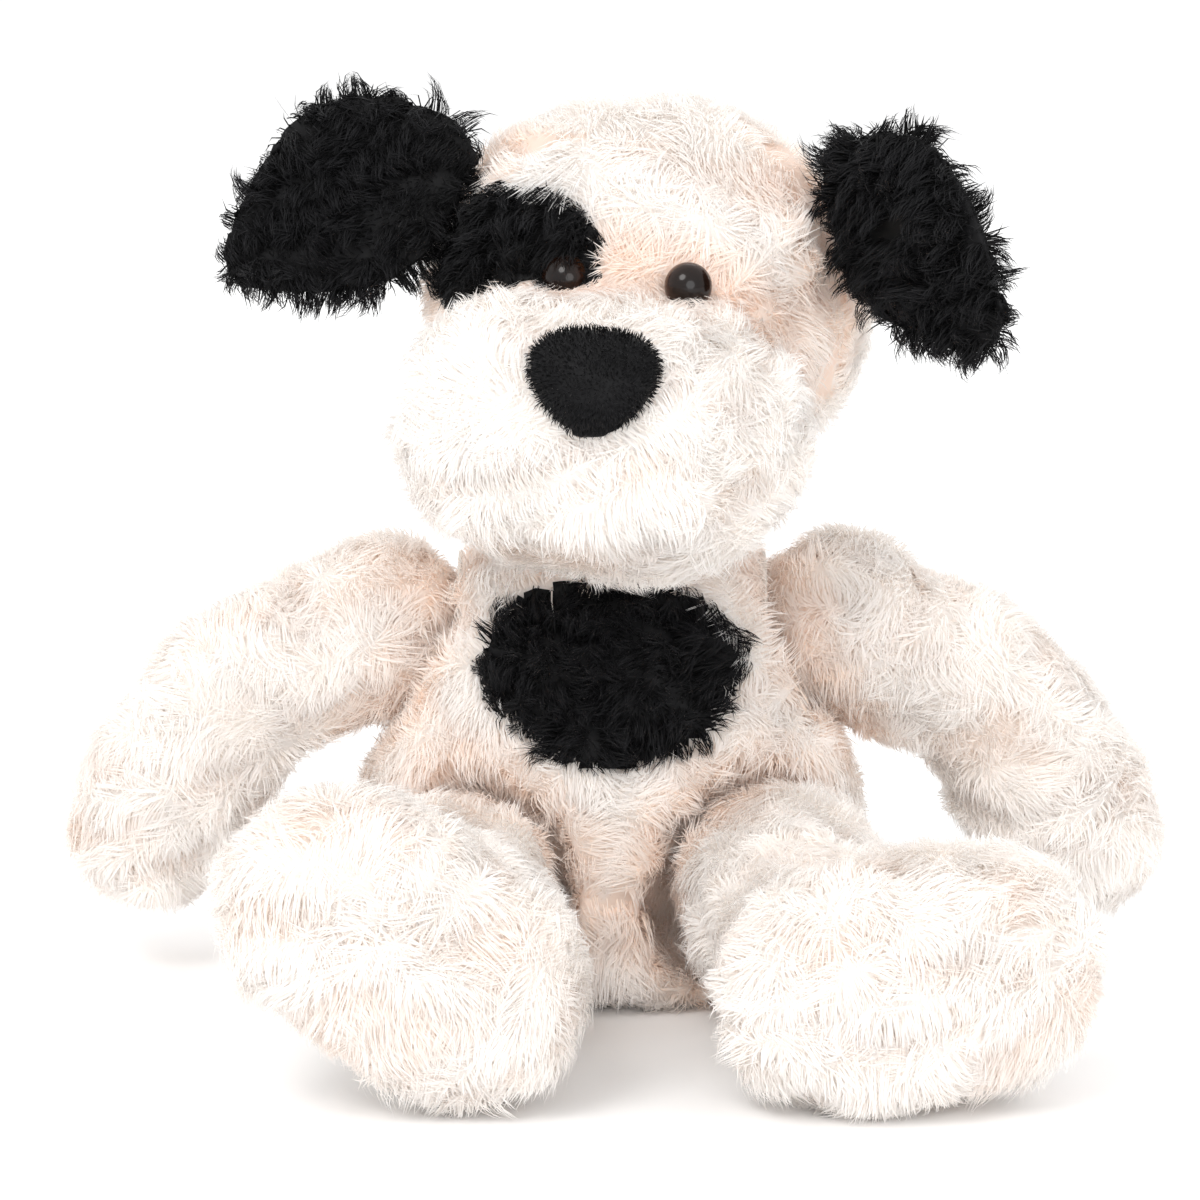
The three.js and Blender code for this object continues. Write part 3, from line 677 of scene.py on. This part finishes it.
def covered(body, panels, inner=(), depth=SKIN_DEPTH, voxel=VOXEL, lump=1.6 * MM, seed=1, kind="cream",
            black=(), tint=0.02, crease=None, clear_of=()):
    """A stuffed part: its panels, each with its pile, which stands clear of the hard pieces named in
    clear_of. The tint is how peach its plain tone is, 0 to 1."""
    form = stuffed_form(panels[0] + "_form", panels, list(inner), depth, voxel)
    lumpy(form, lump)
    mark_panels(form, panels, depth)
    stored(form.data, "lie", "FLOAT_VECTOR", vertex_normals(form.data))
    room = clearance(form.data, others_of(body))
    # Near the seam between the two sets of panels the room is cut: this paints shade along that crease and
    # also shortens the pile there.
    if crease:
        room = np.minimum(room, seam_distance(form.data, *crease))
    stored(form.data, "room", "FLOAT", room)
    stored(form.data, "free", "FLOAT", np.minimum(room, clearance(form.data, clear_of)))
    parts = split_by_panel(form, panels)
    for index, panel in enumerate(panels):
        own = "black" if panel in black else kind
        material = cream_pile if own == "cream" else black_pile
        piece = planted(parts[panel], panel + "_plush", own, material, seed * 100 + index * 7, tint)
        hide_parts(panel)
        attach(piece, body)


def stuffing(node, body, material, depth, voxel=6 * MM):
    """What lies inside a stuffed part, a little clear of the cloth round it."""
    piece = stuffed_form(node + "_inside", [node], [], depth, voxel)
    piece.data.materials.clear()
    piece.data.materials.append(material)
    alone(piece)
    bpy.ops.object.shade_smooth()
    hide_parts(node)
    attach(piece, body)


for node, body in (("body_filling", "body"), ("head_filling", "head"), ("left_arm_filling", "left_arm"),
                   ("right_arm_filling", "right_arm"), ("left_leg_filling", "left_leg"),
                   ("right_leg_filling", "right_leg")):
    stuffing(node, body, loose_fibre, 1.6 * MM)
for node, body in (("seat_pellet_pouch", "body"), ("left_foot_pellet_pouch", "left_leg"),
                   ("right_foot_pellet_pouch", "right_leg")):
    stuffing(node, body, pouch_cloth, 1.0 * MM)
stuffing("tail_filling", "tail", loose_fibre, 1.2 * MM, 2.5 * MM)
stuffing("nose_filling", "head", loose_fibre, 0.8 * MM, 2 * MM)

SKULL_PANELS = ["head_left_panel", "head_right_panel", "eye_patch", "head_back_panel"]
MUZZLE_PANELS = ["muzzle_top_panel", "muzzle_chin_panel"]
SLIGHT_TINT = 0.06
SMALL_LUMP = 0.5 * MM
covered("body", ["seat_panel", "belly_panel", "chest_patch", "left_back_panel", "right_back_panel"],
        black=["chest_patch"], seed=1, tint=SLIGHT_TINT)
covered("head", SKULL_PANELS + MUZZLE_PANELS, black=["eye_patch"], seed=2,
        crease=(SKULL_PANELS, MUZZLE_PANELS), clear_of=["nose_cover", "left_eye"])
for number, side in enumerate(("left", "right")):
    covered(side + "_arm", [side + "_arm_front_panel", side + "_arm_back_panel"], seed=3 + number,
            tint=SLIGHT_TINT)
    covered(side + "_leg", [side + "_foot_sole", side + "_leg_upper_panel", side + "_leg_under_panel"],
            seed=5 + number, tint=SLIGHT_TINT)
    covered(side + "_ear", [side + "_ear_front_panel", side + "_ear_back_panel"], depth=4.5 * MM,
            voxel=3 * MM, lump=SMALL_LUMP, kind="black", seed=7 + number)
covered("tail", ["tail_left_panel", "tail_right_panel"], depth=4 * MM, voxel=3 * MM, lump=SMALL_LUMP, seed=9)
covered("head", ["nose_cover"], ["nose_filling"], depth=1.2 * MM, voxel=2 * MM, lump=SMALL_LUMP,
        kind="nose", seed=10)

# ---- Eyes, thread and washers ---------------------------------------------------------------------


def turned(name, profile, origin, axis, sides):
    """A closed turned piece: a profile of (radius, height) about an axis. The map's first axis is the
    radius, as a share of the widest."""
    axis = Vector(axis).normalized()
    first = axis.orthogonal().normalized()
    second = axis.cross(first)
    widest = max(radius for radius, _ in profile)
    points, shares = [], []
    for radius, height in profile:
        for k in range(sides):
            angle = 2 * math.pi * k / sides
            outward = first * math.cos(angle) + second * math.sin(angle)
            points.append(origin + axis * height + outward * radius)
            shares.append((radius / widest, k / sides))
    faces = []
    for ring in range(len(profile) - 1):
        for k in range(sides):
            a, b = ring * sides + k, ring * sides + (k + 1) % sides
            faces.append((a, b, b + sides, a + sides))
    mesh = bpy.data.meshes.new(name)
    mesh.from_pydata(points, [], faces)
    layer = mesh.uv_layers.new(name="OFBake")
    for loop in mesh.loops:
        layer.data[loop.index].uv = shares[loop.vertex_index]
    piece = bpy.data.objects.new(name, mesh)
    bpy.context.scene.collection.objects.link(piece)
    alone(piece)
    bpy.ops.object.mode_set(mode="EDIT")
    bpy.ops.mesh.select_all(action="SELECT")
    bpy.ops.mesh.remove_doubles(threshold=0.000002)
    bpy.ops.mesh.normals_make_consistent(inside=False)
    bpy.ops.object.mode_set(mode="OBJECT")
    bpy.ops.object.shade_smooth()
    return piece


EYE_RADIUS = 6.4 * MM
EYE_DOME = 5.6 * MM
EYE_DOME_IN_CAD = 5.1 * MM
EYE_BACK = 2.9 * MM  # from the widest ring down to the flat back
BACK_SHARE = 0.8  # of the eye's radius, at the flat back
EYE_SIDES = 48
RIM_STEPS = 4
DOME_STEPS = 12
SHANK = 1.5 * MM


def eye_axis(node):
    """The middle of the shank's end and the way the eye faces."""
    points = coordinates(frame["nodes"][node].data)
    apart = np.linalg.norm(points[:, None] - points[None], axis=2)
    ends = np.unravel_index(apart.argmax(), apart.shape)
    tip, foot = sorted(ends, key=lambda end: (apart[end] < 2 * MM).sum())
    foot_middle = points[apart[foot] < 4 * MM]
    along = unit((points[tip] - points[foot])[None])[0]
    low = (foot_middle @ along).min()
    ring = foot_middle[(foot_middle @ along) < low + 0.3 * MM]
    middle = np.unique(ring.round(7), axis=0).mean(0)
    return Vector(middle), Vector(points[tip]) - Vector(middle)


def eye(node, proud):
    """A glossy dome with a rolled rim, on its shank, lifted so that its rim clears the cloth."""
    foot, reach = eye_axis(node)
    height = reach.length
    base = height - EYE_DOME_IN_CAD + proud
    profile = [(0, 0), (SHANK, 0), (SHANK, base - EYE_BACK), (EYE_RADIUS * BACK_SHARE, base - EYE_BACK)]
    for k in range(1, RIM_STEPS + 1):
        angle = math.pi / 2 * (k / RIM_STEPS - 1)
        radius = EYE_RADIUS * (BACK_SHARE + (1 - BACK_SHARE) * math.cos(angle))
        profile.append((radius, base + EYE_BACK * math.sin(angle)))
    for k in range(1, DOME_STEPS + 1):
        angle = math.pi / 2 * k / DOME_STEPS
        profile.append((EYE_RADIUS * math.cos(angle), base + EYE_DOME * math.sin(angle)))
    piece = turned(node + "_dome", profile, foot, reach, EYE_SIDES)
    piece.data.materials.append(eye_gloss)
    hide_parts(node)
    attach(piece, "head")


eye("left_eye", 1.2 * MM)
eye("right_eye", -6 * MM)  # buried in the long black pile of the patch


def refinish(nodes, material):
    """Gives CAD nodes that are shown as they are a material of this scene's."""
    for node in nodes:
        materials = frame["nodes"][node].data.materials
        materials.clear()
        materials.append(material)


refinish(["neck_thread", "left_shoulder_thread", "right_shoulder_thread", "left_hip_thread",
          "right_hip_thread"], sewing_thread)
refinish(["left_eye_washer", "right_eye_washer"], washer_plastic)

# ---- Sizes and the end ----------------------------------------------------------------------------

def plain(box):
    return [[float(x) for x in corner] for corner in box]
